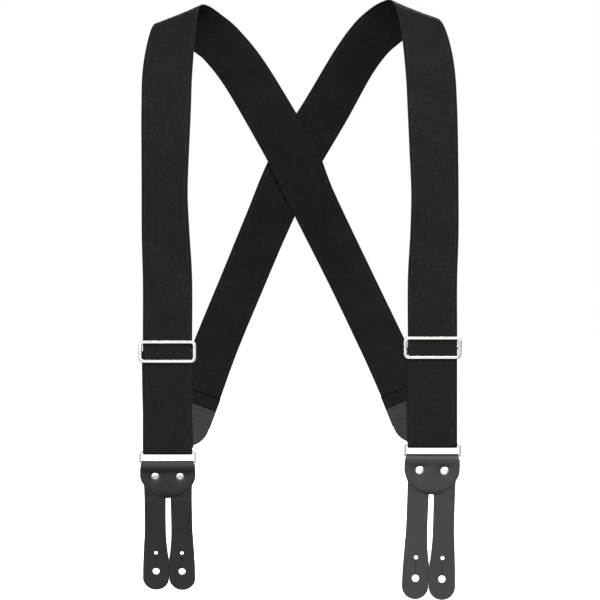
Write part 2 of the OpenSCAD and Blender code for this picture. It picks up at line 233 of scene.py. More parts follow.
def webbing_material():
    """Black elastic webbing: lengthwise ribs, a finer crosswise weave, plain ribbed selvedges, and painted
    shade at its cut end.
    """
    m = Material("webbing")
    place = m.add("ShaderNodeUVMap", uv_map="cloth")
    split = m.add("ShaderNodeSeparateXYZ")
    m.join(place.outputs["UV"], split.inputs[0])
    across, along_it = split.outputs["X"], split.outputs["Y"]
    warp = m.sums("SINE", m.sums("MULTIPLY", across, 2 * math.pi / RIB))
    weft = m.sums("SINE", m.sums("MULTIPLY", along_it, 2 * math.pi / PICK))
    shifted = m.sums("SINE", m.sums("MULTIPLY", across, math.pi / RIB))
    checks = m.sums("MULTIPLY", weft, shifted)
    weave = m.sums("ADD", m.sums("MULTIPLY", warp, 0.5), m.sums("MULTIPLY", checks, 0.5))
    fibres = m.noise(2600, 2, 0.6, place.outputs["UV"])
    m.bump(m.sums("ADD", weave, m.sums("MULTIPLY", fibres, 0.8)), 0.00012, 0.8)
    past = m.sums("SUBTRACT", m.sums("ABSOLUTE", across), SELVEDGE_AT)
    past = m.sums("MULTIPLY", past, 1 / SELVEDGE_W)
    selvedge = m.ramp(past, [(at, grey(level)) for at, level in SELVEDGE_TONES])
    cloudy = m.noise(38, 3, 0.55, place.outputs["UV"])
    worn = m.noise(260, 3, 0.65, place.outputs["UV"])
    tone = m.sums("ADD", m.sums("MULTIPLY", weave, 0.10), selvedge)
    for pattern, amount in ((cloudy, 0.35), (worn, 0.6), (fibres, 0.3)):
        tone = m.sums("ADD", tone, m.sums("MULTIPLY", m.sums("SUBTRACT", pattern, 0.5), amount))
    # Painted shade: the webbing's last stretch at its cut end is darkened, standing in for the shadow line
    # along the turned hem's edge.
    cut_end_shade = m.add("ShaderNodeVertexColor", layer_name="cut_end_shade").outputs["Color"]
    tone = m.sums("SUBTRACT", tone, cut_end_shade)
    colour = m.ramp(tone, [(0.0, grey(0.0025)), (0.5, grey(0.0084)), (1.0, grey(0.025))])
    m.join(colour, m.shader.inputs["Base Color"])
    m.set(Roughness=0.85, Specular_IOR_Level=0.12, Sheen_Weight=0.02, Sheen_Roughness=0.5)
    m.shader.inputs["Sheen Tint"].default_value = (0.55, 0.55, 0.56, 1)
    return m.material


def leather_material():
    """Black smooth leather: fine pebbled grain, a few creases, and slightly paler cut edges."""
    warm = 0.03
    m = Material("leather")
    coordinates = m.add("ShaderNodeTexCoord").outputs["Object"]
    cells = m.add("ShaderNodeTexVoronoi", feature="DISTANCE_TO_EDGE")
    cells.inputs["Scale"].default_value = 1150
    m.join(coordinates, cells.inputs["Vector"])
    pebble = m.sums("MINIMUM", cells.outputs["Distance"], 0.25)
    fine = m.noise(2400, 4, 0.6, coordinates)
    creases = m.noise(85, 4, 0.6, coordinates)
    height = m.sums("ADD", m.sums("MULTIPLY", pebble, 2.2), m.sums("MULTIPLY", fine, 0.35))
    height = m.sums("ADD", height, m.sums("MULTIPLY", creases, 1.6))
    m.bump(height, 0.00010, 0.7)
    rim = m.add("ShaderNodeVertexColor", layer_name="rim").outputs["Color"]
    tone = m.sums("ADD", m.sums("MULTIPLY", creases, 0.7), m.sums("MULTIPLY", rim, 0.35))
    colour = m.ramp(tone, [(0.2, grey(0.011, warm)), (0.5, grey(0.0165, warm)), (0.95, grey(0.046, warm))])
    m.join(colour, m.shader.inputs["Base Color"])
    gloss = m.ramp(m.noise(160, 3, 0.5, coordinates), [(0.3, grey(0.33)), (0.7, grey(0.44))])
    m.join(gloss, m.shader.inputs["Roughness"])
    m.set(Specular_IOR_Level=0.5)
    return m.material


def metal_material(name, level, warm, smooth, rough):
    """Plated metal with faint polishing marks and a little tarnish."""
    m = Material(name)
    coordinates = m.add("ShaderNodeTexCoord").outputs["Object"]
    stretch = m.add("ShaderNodeMapping")
    stretch.inputs["Scale"].default_value = (0.12, 1, 1)
    m.join(coordinates, stretch.inputs["Vector"])
    marks = m.noise(2600, 3, 0.6, stretch.outputs[0])
    tarnish = m.noise(130, 3, 0.6, coordinates)
    colour = m.ramp(tarnish, [(0.25, grey(level * 0.86, warm)), (0.7, grey(level, warm))])
    m.join(colour, m.shader.inputs["Base Color"])
    m.join(m.ramp(marks, [(0.3, grey(smooth)), (0.75, grey(rough))]), m.shader.inputs["Roughness"])
    m.bump(marks, 0.00001, 0.5)
    m.set(Metallic=1.0)
    return m.material


def thread_material():
    """Black sewing thread with a twist along each stitch."""
    m = Material("thread")
    coordinates = m.add("ShaderNodeTexCoord").outputs["Object"]
    twist = m.add("ShaderNodeTexWave", bands_direction="DIAGONAL")
    twist.inputs["Scale"].default_value = 900
    m.join(coordinates, twist.inputs["Vector"])
    m.bump(twist.outputs["Fac"], 0.00008, 0.6)
    colour = m.ramp(twist.outputs["Fac"], [(0.2, grey(0.005)), (0.8, grey(0.009))])
    m.join(colour, m.shader.inputs["Base Color"])
    m.set(Roughness=0.7, Specular_IOR_Level=0.15)
    return m.material


WEBBING = webbing_material()
LEATHER = leather_material()
NICKEL = metal_material("nickel", 0.72, 0.05, 0.14, 0.28)
RIVET = metal_material("rivet_nickel", 0.92, 0.02, 0.32, 0.44)
THREAD = thread_material()


# ---- helpers ----

def glide(a, b, c, d, t):
    """Smooth value between b and c at share t, with a before b and d after c."""
    slope, bend, twist = c - a, 2 * a - 5 * b + 4 * c - d, 3 * b - a - 3 * c + d
    return 0.5 * (2 * b + slope * t + bend * t * t + twist * t**3)


def along(values, steps):
    """Values drawn out smoothly, with the given number of steps from each to the next."""
    v = [np.array(x, float) for x in values]
    n = len(v)
    made = []
    for i in range(n - 1):
        for k in range(steps):
            made.append(glide(v[max(i - 1, 0)], v[i], v[i + 1], v[min(i + 2, n - 1)], k / steps))
    made.append(v[-1])
    return made


def unit(v):
    return v / np.linalg.norm(v)


def solid(name, points, faces, material, smooth=True):
    """A mesh object from points in millimetres."""
    mesh = bpy.data.meshes.new(name)
    mesh.from_pydata([tuple(float(c) * MM for c in p) for p in points], [], faces)
    mesh.update()
    mesh.materials.append(material)
    for polygon in mesh.polygons:
        polygon.use_smooth = smooth
    made = bpy.data.objects.new(name, mesh)
    bpy.context.scene.collection.objects.link(made)
    return made


def tube_faces(rings, size, closed):
    """Faces of a tube made of rings of points; a closed tube joins its last ring to its first."""
    faces = []
    for i in range(rings if closed else rings - 1):
        a, b = i * size, (i + 1) % rings * size
        for k in range(size):
            j = (k + 1) % size
            faces.append((a + k, a + j, b + j, b + k))
    if not closed:
        faces.append(tuple(reversed(range(size))))
        faces.append(tuple(range((rings - 1) * size, rings * size)))
    return faces


def outward(made):
    """Turns every face of a closed mesh outwards."""
    shape = bmesh.new()
    shape.from_mesh(made.data)
    bmesh.ops.recalc_face_normals(shape, faces=shape.faces)
    shape.to_mesh(made.data)
    shape.free()
    return made


# ---- webbing ----

def web_profile():
    """Half of the webbing's cross-section: place across as a share of half the width, half thickness."""
    flat = [(u, WEB_T / 2 - 0.02) for u in (0.4, 2, 4, 6, 8, 10, 12, 14, 16, 18, 20, 21.4)]
    selvedge = [
        (22.2, 0.75), (22.6, 0.60), (23.0, 0.58), (23.4, 0.72), (24.0, 0.8), (24.6, 0.78), (25.1, 0.62),
    ]
    rim = [(25.34, 0.38), (25.4, 0.12)]
    return [(u / WEB_W * 2, h) for u, h in flat + selvedge + rim]


def ribbon(name, centres, outs, widths):
    """Webbing along a route. The mesh carries a map of the flat cloth, across and along, in metres."""
    half = web_profile()
    top = [(-u, h) for u, h in reversed(half)] + half
    loop = top + [(u, -h) for u, h in reversed(top)]
    n, size = len(centres), len(loop)
    points, lengths, length = [], [], 0.0
    for i in range(n):
        ahead = unit(centres[min(i + 1, n - 1)] - centres[max(i - 1, 0)])
        across = unit(np.cross(outs[i], ahead))
        out = unit(np.cross(ahead, across))
        if i:
            length += np.linalg.norm(centres[i] - centres[i - 1])
        lengths.append(length)
        for u, h in loop:
            points.append(centres[i] + across * u * widths[i] * WEB_W / 2 + out * h)
    made = solid(name, points, tube_faces(n, size, False), WEBBING)
    cloth = made.data.uv_layers.new(name="cloth")
    for polygon in made.data.polygons:
        for corner in polygon.loop_indices:
            v = made.data.loops[corner].vertex_index
            cloth.data[corner].uv = (loop[v % size][0] * WEB_W / 2 * MM, lengths[v // size] * MM)
    # Colour layer of painted shade: 1 on the last stretch before the ribbon's cut end, 0 elsewhere.
    cut_end_layer = made.data.color_attributes.new("cut_end_shade", "FLOAT_COLOR", "POINT")
    for i, place in enumerate(lengths):
        level = float(length - place < SHADE_AT_END)
        for k in range(size):
            cut_end_layer.data[i * size + k].color = (level, level, level, 1)
    outward(made)
    return made, length


def turn(centre, radius, start, stop, steps):
    """Points and outward directions round a bar that runs along X; angles are from -Y towards -Z."""
    found = []
    for k in range(steps + 1):
        a = start + (stop - start) * k / steps
        out = np.array((0, -math.cos(a), -math.sin(a)))
        found.append((np.array(centre, float) + out * radius, out))
    return found


def back_frame(side):
    """Place and directions of a strap's back end: across, onwards, towards the wearer."""
    end = np.array(RUNS[side][-1][0], float)
    a = END_ANGLE[side]
    across = np.array((math.cos(a), 0, math.sin(a)))
    onwards = np.array((math.sin(a), 0, -math.cos(a)))
    return end, across, onwards, FORWARDS


def raise_over_hidden(made):
    """Lifts the upper strap where the lower one passes under it, so that the lower one's edges show."""
    rise, reach_out, slope = 1.1, 29, 5      # height, half width, and width of its sloping edges
    first, last = -60, 200                   # the stretch of the lower strap, from the station before
    back_only = 50                           # the front of the strap is nearer than this depth
    a, b = (np.array(RUNS["right"][i][0], float)[[0, 2]] for i in CROSSING)
    ahead = unit(b - a)
    for vertex in made.data.vertices:
        at = np.array((vertex.co.x, vertex.co.z)) / MM - a
        along_it = at @ ahead
        if vertex.co.y < back_only * MM or not first < along_it < last:
            continue
        far = abs(at[0] * ahead[1] - at[1] * ahead[0])
        share = min(max((reach_out - far) / slope, 0), 1)
        vertex.co.y -= rise * MM * share * share * (3 - 2 * share)


def strap(side):
    """The whole outer run: up from the ring's fold, over the shoulder, down the back and into the hem."""
    fold_steps, front_steps, run_steps, hem_steps, turn_steps = 18, 14, 20, 8, 10
    x = SIDES[side] * FRONT_X
    radius = FOLD_R + WEB_T / 2
    run = RUNS[side]
    low, high = BAR_Z[side] + FOLD_TOP, run[0][0][2]
    route = [(np.array((x, RETURN_Y, low)), BACKWARDS, 1.0)]
    for point, out in turn((x, FOLD_Y, BAR_Z[side]), radius, math.pi, 0, fold_steps):
        route.append((point, out, 1.0))
    for k in range(front_steps):
        z = low + (high - low) * k / front_steps
        route.append((np.array((x, FRONT_Y, z)), FORWARDS, 1.0))
    middles, outs, widths = zip(*run)
    widths = [[wide] for wide in widths]
    for point, out, wide in zip(*(along(values, run_steps) for values in (middles, outs, widths))):
        route.append((point, out, float(wide[0])))
    end, across, onwards, inwards = back_frame(side)
    for k in range(1, hem_steps + 1):
        route.append((end + onwards * HEM_L * k / hem_steps, -inwards, 1.0))
    fold = (WEB_T + HEM_GAP) / 2
    pivot = end + onwards * HEM_L + inwards * fold
    for k in range(1, turn_steps):
        a = math.pi * k / turn_steps
        out = -inwards * math.cos(a) + onwards * math.sin(a)
        route.append((pivot + out * fold, out, 1.0))
    for up in (0, 5, 10, 15, 20, HEM_FREE, 29, 32, 33.4, 34.4, HEM_L):
        lift = HEM_LIFT * max(0, (up - HEM_FREE) / (HEM_L - HEM_FREE)) ** 2
        route.append((pivot + inwards * (fold + lift) - onwards * up, inwards, HEM_WIDE))
    made, length = ribbon(f"webbing_{side}", *map(list, zip(*route)))
    if side == "left":
        raise_over_hidden(made)
    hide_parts(f"strap_{side}", f"front_layer_{side}", f"ring_fold_{side}", f"back_hem_{side}")
    top = np.array((x, FRONT_Y, STRETCH_TOP)) * MM
    drop = (BAR_Z[side] + 2 * FOLD_TOP - STRETCH_TOP) * MM
    # A point on a line that slants forwards from the top of the part that changes length; nothing below
    # uses it.
    end = (top[0], top[1] + drop / 2, top[2] + drop / 2)
    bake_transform(made)
    tuple(end)


def returning(side):
    """The webbing behind the outer layer, up to the loop sewn round the slide's centre bar."""
    upper, lower = RETURN_AT[side]
    x = SIDES[side] * FRONT_X + upper
    z = SLIDE_Z[side]
    radius = CENTRE_BAR_R + 0.1 + WEB_T / 2
    low, leg = BAR_Z[side] + FOLD_TOP, z - 20
    steps, guide_steps, loop_steps = 24, 5, 16
    route = []
    for k in range(steps):
        drift = (lower - upper) * (1 - k / steps) ** 1.5
        point = np.array((x + drift, RETURN_Y, low + (leg - low) * k / steps))
        route.append((point, BACKWARDS, 1.0))
    guide = [(RETURN_Y, leg), (RETURN_Y, z - 13), (RETURN_Y, z - 7), (LOOP_Y + radius - 0.2, z - 2.5)]
    for point in along([(x, *at) for at in guide], guide_steps)[:-1]:
        route.append((point, BACKWARDS, 1.0))
    for point, out in turn((x, LOOP_Y, z), radius, -math.pi, -2 * math.pi, loop_steps):
        route.append((point, out, 1.0))
    inner = RETURN_Y - WEB_T - 0.05
    guide = [(LOOP_Y - radius + 0.2, z - 2.5), (inner, z - 7), (inner, z - 13), (inner, z - 19.5)]
    for point in along([(x, *at) for at in guide], guide_steps):
        route.append((point, FORWARDS, 1.0))
    made, length = ribbon(f"return_webbing_{side}", *map(list, zip(*route)))
    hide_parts(f"return_layer_{side}", f"bar_loop_{side}")
    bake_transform(made)


# ---- stitches ----

def stitches(name, places):
    """Short rounded stitches: each place is its two ends, in millimetres, and the way out of the cloth."""
    thin, swell = 0.12, 0.2          # radius at the ends, and how much more in the middle
    rise, sunk = 0.28, 0.12          # how far the middle stands up, and how deep the ends lie
    stray = 0.12
    rings, size = 7, 8
    chance = random.Random(name)
    points, faces = [], []
    for a, b, out in places:
        a, b, out = (np.array(v, float) for v in (a, b, out))
        ahead = unit(b - a)
        side = np.cross(out, ahead)
        jitter = side * chance.uniform(-stray, stray)
        first = len(points)
        for i in range(rings):
            t = i / (rings - 1)
            arch = math.sin(math.pi * t)
            radius = thin + swell * arch**0.6
            centre = a + (b - a) * t + out * (rise * arch - sunk) + jitter * (t - 0.5)
            for k in range(size):
                w = 2 * math.pi * k / size
                points.append(centre + (side * math.cos(w) + out * math.sin(w)) * radius)
        faces += [tuple(first + i for i in face) for face in tube_faces(rings, size, False)]
    return outward(solid(name, points, faces, THREAD))


def row(start, end, out, count, share=0.68):
    """Stitches in a line from start to end."""
    start, end = np.array(start, float), np.array(end, float)
    step = (end - start) / count
    return [(start + step * i, start + step * (i + share), out) for i in range(count)]


def loop_stitches(side):
    """Two rows of stitches that close the loop round the slide's centre bar."""
    x = SIDES[side] * FRONT_X + RETURN_AT[side][0]
    y = RETURN_Y + WEB_T / 2
    half, count = 23, 16
    places = []
    for down in (9, 15):
        z = SLIDE_Z[side] - down
        places += row((x - half, y, z), (x + half, y, z), BACKWARDS, count)
    made = stitches(f"loop_stitches_{side}", places)
    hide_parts(f"loop_stitch_{side}")
    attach(made, f"adjuster_{side}")


# ---- leather ----

def arc(centre, radius, start, stop, steps, last=0):
    """Points of an arc, angles in degrees, with its end point if last is 1."""
    found = []
    for k in range(steps + last):
        a = math.radians(start + (stop - start) * k / steps)
        found.append((centre[0] + radius * math.cos(a), centre[1] + radius * math.sin(a)))
    return found


def keyhole(x, low, tall):
    """Outline of a buttonhole: large end at low, small end tall above it. The second number grows down."""
    half = 0.012
    a = math.degrees(math.asin(half / BUTTON_R))
    b = math.degrees(math.asin(half / RELIEF_R))
    large = arc((x, low), BUTTON_R, -90 + a, 270 - a, 40, last=1)
    small = arc((x, low - tall), RELIEF_R, 90 + b, 450 - b, 24, last=1)
    return large + small


def spaced(points, step):
    """A closed outline with its points no further apart than step."""
    found = []
    for i, p in enumerate(points):
        q = points[(i + 1) % len(points)]
        length = math.dist(p, q)
        count = max(1, math.ceil(length / step))
        for k in range(count):
            found.append((p[0] + (q[0] - p[0]) * k / count, p[1] + (q[1] - p[1]) * k / count))
    return found


def softened(points, steps=4):
    """A line drawn smoothly through its points."""
    return [tuple(p) for p in along(points, steps)]


def inside(points, loops):
    """Which points lie inside the outline and outside its holes."""
    x, y = points[:, 0], points[:, 1]
    odd = np.zeros(len(points), bool)
    for loop in loops:
        a = np.array(loop)
        b = np.roll(a, -1, axis=0)
        for (x0, y0), (x1, y1) in zip(a, b):
            if y0 == y1:
                continue
            crosses = (y0 > y) != (y1 > y)
            odd ^= crosses & (x < (x1 - x0) * (y - y0) / (y1 - y0) + x0)
    return odd


def reach(points, loops):
    """Distance from each point to the nearest edge."""
    best = np.full(len(points), 1e9)
    for loop in loops:
        a = np.array(loop)
        b = np.roll(a, -1, axis=0)
        for p, q in zip(a, b):
            d = q - p
            t = np.clip(((points - p) @ d) / max(d @ d, 1e-12), 0, 1)
            best = np.minimum(best, np.linalg.norm(points - p - t[:, None] * d, axis=1))
    return best


EDGE_STEP, GRID = 1.3, 2.2            # spacing of points on the cut edges, and away from them
INSETS, CLEAR = (0.16, 0.4, 0.8, 1.5), 2.3   # rows of points along the edges, and where the grid starts
EDGE_R, EDGE_FADE = 0.55, 0.7         # rounding of the cut edges, and how far in their colour fades


def edge_rows(loops):
    """Rows of points along the edges, inside the outline."""
    found = []
    for loop in loops:
        a = np.array(loop)
        d = np.roll(a, -1, axis=0) - np.roll(a, 1, axis=0)
        normal = np.stack([-d[:, 1], d[:, 0]], axis=1)
        normal /= np.linalg.norm(normal, axis=1)[:, None]
        for inset in INSETS:
            for sign in (-1, 1):
                ring = a + normal * sign * inset
                good = inside(ring, loops) & (reach(ring, loops) > 0.97 * inset)
                found += [tuple(p) for p in ring[good]]
    return found


def field_points(loops):
    """A staggered grid of points inside the outline, away from its edges."""
    edge = np.array([p for loop in loops for p in loop])
    low, high = edge.min(axis=0), edge.max(axis=0)
    xs, ys = np.arange(low[0], high[0], GRID), np.arange(low[1], high[1], GRID)
    field = np.array([(x + (GRID / 2 if j % 2 else 0), y) for j, y in enumerate(ys) for x in xs])
    good = inside(field, loops) & (reach(field, loops) > CLEAR)
    return [tuple(p) for p in field[good]]


def cut_out(loops):
    """Flat points and triangles that fill the outline and leave its holes open."""
    points, segments = [], []
    for loop in loops:
        first, n = len(points), len(loop)
        segments += [(first + i, first + (i + 1) % n) for i in range(n)]
        points += loop
    points += edge_rows(loops) + field_points(loops)
    made = geometry.delaunay_2d_cdt([Vector(p) for p in points], segments, [], 0, 1e-5)
    flat = np.array([tuple(v) for v in made[0]])
    triangles = [tuple(t) for t in made[2]]
    centres = np.array([flat[list(t)].mean(axis=0) for t in triangles])
    return flat, [t for t, ok in zip(triangles, inside(centres, loops)) if ok]


def hide(name, loops, place):
    """A piece of leather cut to a flat outline with holes, laid out in space by place(x, s, height).
    Its faces are fine enough to bend, and its edges are rounded. Colour layer rim is 1 on the cut edge."""
    loops = [spaced(loop, EDGE_STEP) for loop in loops]
    flat, triangles = cut_out(loops)
    far = reach(flat, loops)
    used = sorted({i for t in triangles for i in t})
    index = {v: i for i, v in enumerate(used)}
    count = len(used)
    front, back = [], []
    for v in used:
        d = min(far[v], EDGE_R)
        half = LEATHER_T / 2 - EDGE_R + math.sqrt(max(EDGE_R * EDGE_R - (EDGE_R - d) ** 2, 0))
        front.append(place(flat[v][0], flat[v][1], half))
        back.append(place(flat[v][0], flat[v][1], -half))
    faces = [tuple(index[i] for i in t) for t in triangles]
    faces += [tuple(count + index[i] for i in reversed(t)) for t in triangles]
    sides = dict.fromkeys((t[k], t[(k + 1) % 3]) for t in triangles for k in range(3))
    for a, b in sides:
        if (b, a) not in sides:
            faces.append((index[b], index[a], count + index[a], count + index[b]))
    piece = solid(name, front + back, faces, LEATHER)
    worn = piece.data.color_attributes.new("rim", "FLOAT_COLOR", "POINT")
    for i, v in enumerate(used):
        level = max(0.0, 1 - far[v] / EDGE_FADE)
        for j in (i, i + count):
            worn.data[j].color = (level, level, level, 1)
    return outward(piece)


WRAP_R = FOLD_R + LEATHER_T / 2
WRAP = math.pi * WRAP_R
CLOSED = 11.0                     # how far below the ring's bar the two plies meet
FRONT_BULGE = {"left": 2.0, "right": 6.0}     # how much the shield swells below the fold
BACK_BULGE = 0.6
DIMPLE = {"left": 1.0, "right": 1.9}          # how far the shield stands off between the rivets
NECK = RING_L / 2 - 2 * WIRE_R - PLAY
BOW, BOW_FROM, BOW_HALF = 1.6, 45.0, 27       # how far the arms bow back, from where, and their half width
SLANT_FROM = 12                   # how far below the ring's bar the slant is fully there


def ply_gap(v, bulge):
    """Distance of a ply's middle from the middle of the leather end, at v below the ring's bar."""
    t = min(v / CLOSED, 1)
    share = 2 * t**3 - 3 * t * t + 1 + bulge * (t**3 - 2 * t * t + t)
    return LEATHER_T / 2 + TOUCH + (WRAP_R - LEATHER_T / 2 - TOUCH) * share


def wrap_point(s, bulge):
    """Depth and drop of the leather's middle at s along it, from the shield's tip to the arms' ends."""
    if s < SHIELD_L:
        return -ply_gap(SHIELD_L - s, bulge), SHIELD_L - s
    if s < SHIELD_L + WRAP:
        a = (s - SHIELD_L) / WRAP_R
        return -WRAP_R * math.cos(a), -WRAP_R * math.sin(a)
    v = s - SHIELD_L - WRAP
    return ply_gap(v, BACK_BULGE), v


def pressed(x, v, deep):
    """How far the shield stands off the back ply: none at the rivets, a little elsewhere."""
    near = min((x - RIVET_X) ** 2, (x + RIVET_X) ** 2) + (v - RIVET_DOWN) ** 2
    off_rivets = 1 - math.exp(-near / 40)
    off_fold = 1 - math.exp(-max(v - 2, 0) / 6)
    off_tip = min(1, max(0, (SHIELD_L - v) / 6))
    return deep * off_rivets * off_fold * off_tip


def front_outline():
    """Flat outline of a front leather end, s from the shield's tip, over the fold, to the arms' ends."""
    wide = SHIELD_W / 2
    turned = SHIELD_L + WRAP
    shield = softened([
        (0, 0), (4.8, 0.5), (9.6, 2.4), (15.9, 7), (20.8, 11.2), (25, 15.6),
        (wide - 1, 20), (wide, 25), (wide - 0.2, 34), (wide - 0.6, 36.6), (wide - 1.1, 37.4),
    ])
    neck = [(NECK, SHIELD_L - 1.3), (NECK, turned + 1.3)]
    foot = turned + ARM_L
    arm = softened([
        (wide - 1.1, turned + 1.6), (wide - 0.6, turned + 2.4), (wide - 0.2, turned + 6),
        (wide, turned + 15), (wide - 1.2, turned + 19.5), (26, turned + 23), (24.9, turned + 27),
        (24.7, turned + 50), (24.9, foot - 72), (25.7, foot - 57), (26.6, foot - 41), (27.3, foot - 26),
    ])
    bulb = arc((BULB_X, foot - BULB_R), BULB_R, 0, 180, 30)
    inner = softened([
        (0.05, foot - 14), (0.05, foot - 35), (0.8, foot - 41), (1.9, foot - 52), (2.5, foot - 62),
        (2.7, foot - 75), (2.6, foot - 90), (2.4, foot - 103), (2.2, turned + SHIELD_L - 1),
        (1.6, turned + SHIELD_L - 3), (0, turned + SHIELD_L - 3.6),
    ])
    half = shield + neck + arm + bulb + inner
    return half + [(-x, s) for x, s in reversed(half[1:-1])]


def front_leather(side):
    """One piece of leather: shield in front, fold over the ring, two arms behind."""
    tilt, slant = SWING[side], SLANT[side]
    x0, z0 = SIDES[side] * FRONT_X, BAR_Z[side] - RING_PITCH

    def place(x, s, height):
        y, v = wrap_point(s, FRONT_BULGE[side])
        y1, v1 = wrap_point(s + 0.05, FRONT_BULGE[side])
        out = unit(np.array((-(v1 - v), y1 - y)))
        if s < SHIELD_L:
            y -= pressed(x, v, DIMPLE[side])
        y, v = y + out[0] * height, v + out[1] * height
        if s > SHIELD_L + WRAP:
            share = min(max((v - BOW_FROM) / (ARM_L - BOW_FROM), 0), 1)
            y += BOW * math.sin(math.pi * share) * (0.5 + 0.5 * abs(x) / BOW_HALF)
        if v > 0:
            lean = math.sin(slant) * min(v / SLANT_FROM, 1)
            x, v = x * math.cos(slant) - v * math.sin(slant), v + x * lean
        return (
            x0 + x,
            FOLD_Y + y * math.cos(tilt) + v * math.sin(tilt),
            z0 + y * math.sin(tilt) - v * math.cos(tilt),
        )

    low = SHIELD_L + WRAP + ARM_L - BUTTON_UP
    holes = [keyhole(-HOLE_X, low, SLIT_L), keyhole(HOLE_X, low, SLIT_L)]
    made = hide(f"front_leather_{side}", [front_outline()] + holes, place)
    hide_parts(f"button_leather_{side}")
    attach(made, f"tab_{side}")


def back_leather(side):
    """The round-ended tab sewn to the hem, with its one buttonhole."""
    end, across, onwards, inwards = back_frame(side)
    surface = WEB_T / 2 + HEM_GAP + WEB_T + TOUCH + LEATHER_T / 2
    half, straight_end = TAB_W / 2, HEM_SHOW + TAB_STRAIGHT
    low, tall = straight_end + 13.5, 12
    round_end = arc((0, straight_end), half, 0, 180, 40)
    corner = 1.6
    nip = corner * 0.3
    top = [
        (-half, straight_end), (-half, HEM_SHOW + corner), (-half + nip, HEM_SHOW + nip),
        (-half + corner, HEM_SHOW), (half - corner, HEM_SHOW), (half - nip, HEM_SHOW + nip),
        (half, HEM_SHOW + corner),
    ]
    sag, sag_from, sag_over = 0.7, HEM_L + 2, 12     # below the hem the leather lies a little closer in

    def place(x, s, height):
        dip = sag * min(max((s - sag_from) / sag_over, 0), 1)
        at = end + across * x + onwards * s + inwards * (surface - dip + height)
        return tuple(at)

    made = hide(f"back_leather_piece_{side}", [round_end + top, keyhole(0, low, tall)], place)
    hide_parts(f"back_leather_{side}")
    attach(made, "root")
    y = surface + LEATHER_T / 2
    seam_half, count = 22.5, 15
    places = []
    for down in (3, 16):
        left_end = end + across * -seam_half + onwards * (HEM_SHOW + down) + inwards * y
        right_end = end + across * seam_half + onwards * (HEM_SHOW + down) + inwards * y
        places += row(left_end, right_end, inwards, count)
    thread = stitches(f"back_stitches_{side}", places)
    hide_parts(f"back_stitch_{side}")
    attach(thread, "root")


# ---- metal ----

def swept(name, path, section):
    """A nickel bar along a closed path in the XZ plane. section gives (outwards, y) points at a place."""
    n = len(path)
    points, size = [], 0
    for i in range(n):
        before, after = np.array(path[i - 1]), np.array(path[(i + 1) % n])
        ahead = unit(after - before)
        out = np.array((ahead[1], -ahead[0]))
        ring = section(path[i])
        size = len(ring)
        for o, y in ring:
            points.append((path[i][0] + out[0] * o, y, path[i][1] + out[1] * o))
    return outward(solid(name, points, tube_faces(n, size, True), NICKEL))


def round_rect(l, h, r, steps=10, straight=6):
    """A rounded rectangle, anticlockwise from its right side, with points along its straight sides too."""
    in_x, in_z = l / 2 - r, h / 2 - r
    corners = [(in_x, in_z, 0), (-in_x, in_z, 90), (-in_x, -in_z, 180), (in_x, -in_z, 270)]
    found = []
    for i, (x, z, start) in enumerate(corners):
        found += arc((x, z), r, start, start + 90, steps, last=1)
        a = found[-1]
        nx, nz, begin = corners[(i + 1) % 4]
        b = arc((nx, nz), r, begin, begin, 1)[0]
        for k in range(1, straight):
            found.append((a[0] + (b[0] - a[0]) * k / straight, a[1] + (b[1] - a[1]) * k / straight))
    return found


POST_FROM, POST_OVER = 25.5, 2.5     # where the slide's end posts start, and how soon they are full
GROOVE, GROOVE_HALF = 0.42, 0.55     # depth and half width of the groove down the front of each post
SQUARED = 0.85                       # below 1, the bar's section is squarer than an ellipse


def slide_frame(side):
    """The slide's bright front frame and the two lugs that hold the centre bar."""
    front = FRONT_Y - WEB_T / 2 - PLAY
    centre = SIDES[side] * FRONT_X
    size = 24

    def section(at):
        post = min(max((abs(at[0] - centre) - POST_FROM) / POST_OVER, 0), 1)
        ring = []
        for k in range(size):
            a = 2 * math.pi * k / size
            c, s = math.cos(a), math.sin(a)
            o = math.copysign(abs(c) ** SQUARED, c) * SLIDE_BAR / 2
            y = math.copysign(abs(s) ** SQUARED, s) * SLIDE_D / 2
            if s < 0:
                y += GROOVE * post * math.exp(-(o / GROOVE_HALF) ** 2)
            ring.append((o, front - SLIDE_D / 2 + y))
        return ring

    path = round_rect(SLIDE_L - SLIDE_BAR, SLIDE_H - SLIDE_BAR, SLIDE_CORNER)
    path = [(x + centre, z + SLIDE_Z[side]) for x, z in path]
    made = swept(f"slide_{side}", path, section)
    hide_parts(f"slide_frame_{side}")
    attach(made, f"adjuster_{side}")
    reach_back = LOOP_Y + CENTRE_BAR_R + 1
    for end in (-1, 1):
        lug(side, end, front - SLIDE_D / 2, reach_back)


def lug(side, end, y0, y1):
    """A rounded ear at one end of the slide, from the frame back to the centre bar."""
    x = SIDES[side] * FRONT_X + end * (SLIDE_L - LUG_INSET - LUG_T) / 2
    tip = y1 - LUG_R
    ring = [(y0, LUG_R), (tip, LUG_R)] + arc((tip, 0), LUG_R, 90, -90, 12, last=1)
    ring += [(tip, -LUG_R), (y0, -LUG_R)]
    half = LUG_T / 2
    levels = [(-half, LUG_CHAMFER), (LUG_CHAMFER - half, 0), (half - LUG_CHAMFER, 0), (half, LUG_CHAMFER)]
    points = []
    cy = (y0 + y1) / 2
    for dx, inset in levels:
        for y, z in ring:
            points.append((
                x + dx,
                y - math.copysign(min(inset, abs(y - cy)), y - cy),
                SLIDE_Z[side] + z - math.copysign(min(inset, abs(z)), z),
            ))
    where = "inner" if end * SIDES[side] < 0 else "outer"
    faces = tube_faces(len(levels), len(ring), False)
    made = outward(solid(f"slide_lug_{side}_{where}", points, faces, NICKEL, smooth=False))
    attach(made, f"adjuster_{side}")


